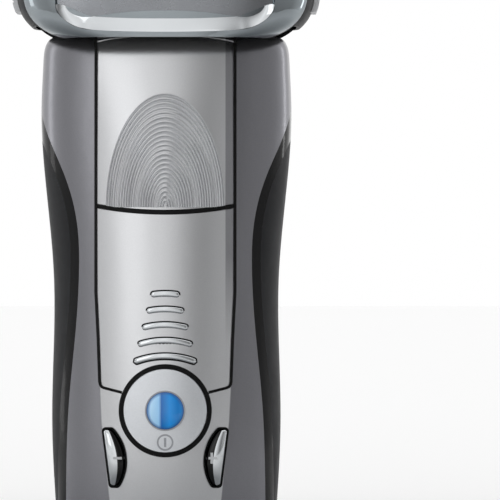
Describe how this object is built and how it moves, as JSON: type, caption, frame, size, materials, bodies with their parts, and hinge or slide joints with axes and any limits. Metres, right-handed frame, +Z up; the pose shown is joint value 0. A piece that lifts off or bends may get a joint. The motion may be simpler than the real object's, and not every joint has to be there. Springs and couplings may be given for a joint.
{
  "type": "foil shaver",
  "caption": "Cordless foil shaver with a waisted handle, soft side grips, round power button, tilting chrome head and pop-out trimmer.",
  "frame": {"origin": "middle of the flat base that the shaver stands on", "axes": "+Z up along the handle to the foils, -Y is the front with the power button, +X to the right seen from the front"},
  "size_m": [0.0742, 0.044, 0.1622],
  "materials": {
    "silver_paint": "metallic silver lacquer, satin",
    "chrome": "polished",
    "smoked_chrome": "satin dark chrome plating",
    "black_gloss": "glossy",
    "soft_grip": "matt soft-touch",
    "black_plastic": "matt moulded",
    "grey_plastic": "satin moulded",
    "seal_rubber": "matt",
    "blue_lens": "clear glossy",
    "steel": "brushed",
    "foil_steel": "perforated foil",
    "brass": "plain",
    "copper": "enamelled wire",
    "board_green": "solder mask",
    "cell_wrap": "shrink wrap",
    "display_black": "smoked window"
  },
  "bodies": {
    "handle": {"front_housing": "silver_paint", "rear_housing": "black_plastic", "left_grip": "soft_grip", "right_grip": "soft_grip", "left_grip_trim": "black_gloss", "right_grip_trim": "black_gloss", "front_plate": "silver_paint", "accent_bars": "chrome", "button_gasket": "seal_rubber", "side_button_gaskets": "seal_rubber", "bottom_cap": "black_plastic", "cap_screws": "steel", "power_socket": "black_plastic", "socket_pins": "brass", "charge_contacts": "steel", "display_window": "display_black", "chassis": "black_plastic", "chassis_screws": "steel", "battery_cell": "cell_wrap", "battery_tabs": "steel", "main_board": "board_green", "push_switches": "black_plastic", "ring_light": "blue_lens", "hinge_yoke": "steel", "hinge_pins": "steel", "neck_seals": "seal_rubber", "trimmer_guide": "black_plastic"},
    "head": {"head_housing": "black_gloss", "bezel_front": "chrome", "bezel_rear": "chrome", "motor_housing": "grey_plastic", "motor_coil": "copper", "drive_seals": "seal_rubber"},
    "cassette": {"cassette_frame": "smoked_chrome"},
    "front_foil": {"foil_front": "foil_steel", "foil_ends_front": "black_plastic"},
    "rear_foil": {"foil_rear": "foil_steel", "foil_ends_rear": "black_plastic"},
    "middle_comb": {"middle_trimmer_comb": "foil_steel"},
    "front_cutter": {"cutter_front": "steel"},
    "rear_cutter": {"cutter_rear": "steel"},
    "middle_blade": {"middle_trimmer_blade": "steel"},
    "front_drive": {"drive_bar_front": "grey_plastic"},
    "rear_drive": {"drive_bar_rear": "grey_plastic"},
    "left_release": {"release_button_left": "grey_plastic"},
    "right_release": {"release_button_right": "grey_plastic"},
    "thumb_slide": {"trimmer_slide": "silver_paint", "trimmer_carriage": "black_plastic"},
    "long_hair_trimmer": {"trimmer_body": "black_plastic", "trimmer_comb": "steel"},
    "long_hair_blade": {"trimmer_blade": "steel"},
    "head_lock": {"head_lock_slider": "grey_plastic"},
    "power_key": {"power_button": "smoked_chrome", "power_lens": "blue_lens"},
    "minus_key": {"minus_button": "chrome"},
    "plus_key": {"plus_button": "chrome"}
  },
  "joints": [
    {"name": "head_tilt", "type": "hinge", "parent": "handle", "child": "head", "pos_m": [0, 0, 0.135], "axis": [1, 0, 0], "range_deg": [-12, 12], "stiffness_Nm_per_rad": 0.15},
    {"name": "cassette_lift", "type": "slide", "parent": "head", "child": "cassette", "axis": [0, 0, 1], "range_m": [0, 0.008]},
    {"name": "front_foil_float", "type": "slide", "parent": "cassette", "child": "front_foil", "axis": [0, 0, 1], "range_m": [-0.002, 0], "stiffness_N_per_m": 400, "springref_m": 0.001},
    {"name": "rear_foil_float", "type": "slide", "parent": "cassette", "child": "rear_foil", "axis": [0, 0, 1], "range_m": [-0.002, 0], "stiffness_N_per_m": 400, "springref_m": 0.001},
    {"name": "middle_float", "type": "slide", "parent": "cassette", "child": "middle_comb", "axis": [0, 0, 1], "range_m": [-0.002, 0], "stiffness_N_per_m": 300, "springref_m": 0.001},
    {"name": "front_drive", "type": "slide", "parent": "head", "child": "front_drive", "axis": [1, 0, 0], "range_m": [-0.0012, 0.0012], "stiffness_N_per_m": 600},
    {"name": "rear_drive", "type": "slide", "parent": "head", "child": "rear_drive", "axis": [1, 0, 0], "range_m": [-0.0012, 0.0012]},
    {"name": "front_cutter_stroke", "type": "slide", "parent": "front_foil", "child": "front_cutter", "axis": [1, 0, 0], "range_m": [-0.0012, 0.0012]},
    {"name": "rear_cutter_stroke", "type": "slide", "parent": "rear_foil", "child": "rear_cutter", "axis": [1, 0, 0], "range_m": [-0.0012, 0.0012]},
    {"name": "middle_blade_stroke", "type": "slide", "parent": "middle_comb", "child": "middle_blade", "axis": [1, 0, 0], "range_m": [-0.0012, 0.0012]},
    {"name": "left_release_press", "type": "slide", "parent": "head", "child": "left_release", "axis": [1, 0, 0], "range_m": [0, 0.0011], "stiffness_N_per_m": 900, "springref_m": -0.0005},
    {"name": "right_release_press", "type": "slide", "parent": "head", "child": "right_release", "axis": [-1, 0, 0], "range_m": [0, 0.0011], "stiffness_N_per_m": 900, "springref_m": -0.0005},
    {"name": "thumb_slide_up", "type": "slide", "parent": "handle", "child": "thumb_slide", "axis": [0, 0, 1], "range_m": [0, 0.003]},
    {"name": "trimmer_pop_out", "type": "slide", "parent": "handle", "child": "long_hair_trimmer", "axis": [0, 0.5878, 0.809], "range_m": [0, 0.012]},
    {"name": "trimmer_blade_stroke", "type": "slide", "parent": "long_hair_trimmer", "child": "long_hair_blade", "axis": [1, 0, 0], "range_m": [-0.0007, 0.0007], "stiffness_N_per_m": 300},
    {"name": "head_lock_slide", "type": "slide", "parent": "handle", "child": "head_lock", "axis": [0, 0, 1], "range_m": [0, 0.004]},
    {"name": "power_press", "type": "slide", "parent": "handle", "child": "power_key", "axis": [0, 1, 0], "range_m": [0, 0.0006], "stiffness_N_per_m": 900, "springref_m": -0.0003},
    {"name": "minus_press", "type": "slide", "parent": "handle", "child": "minus_key", "axis": [0, 1, 0], "range_m": [0, 0.0005], "stiffness_N_per_m": 900, "springref_m": -0.0003},
    {"name": "plus_press", "type": "slide", "parent": "handle", "child": "plus_key", "axis": [0, 1, 0], "range_m": [0, 0.0005], "stiffness_N_per_m": 900, "springref_m": -0.0003}
  ],
  "couplings": [
    {"joint": "rear_drive", "follows": "front_drive", "ratio": -1},
    {"joint": "front_cutter_stroke", "follows": "front_drive", "ratio": 1},
    {"joint": "rear_cutter_stroke", "follows": "front_drive", "ratio": -1},
    {"joint": "middle_blade_stroke", "follows": "front_drive", "ratio": 1},
    {"joint": "trimmer_pop_out", "follows": "thumb_slide_up", "ratio": 4}
  ]
}
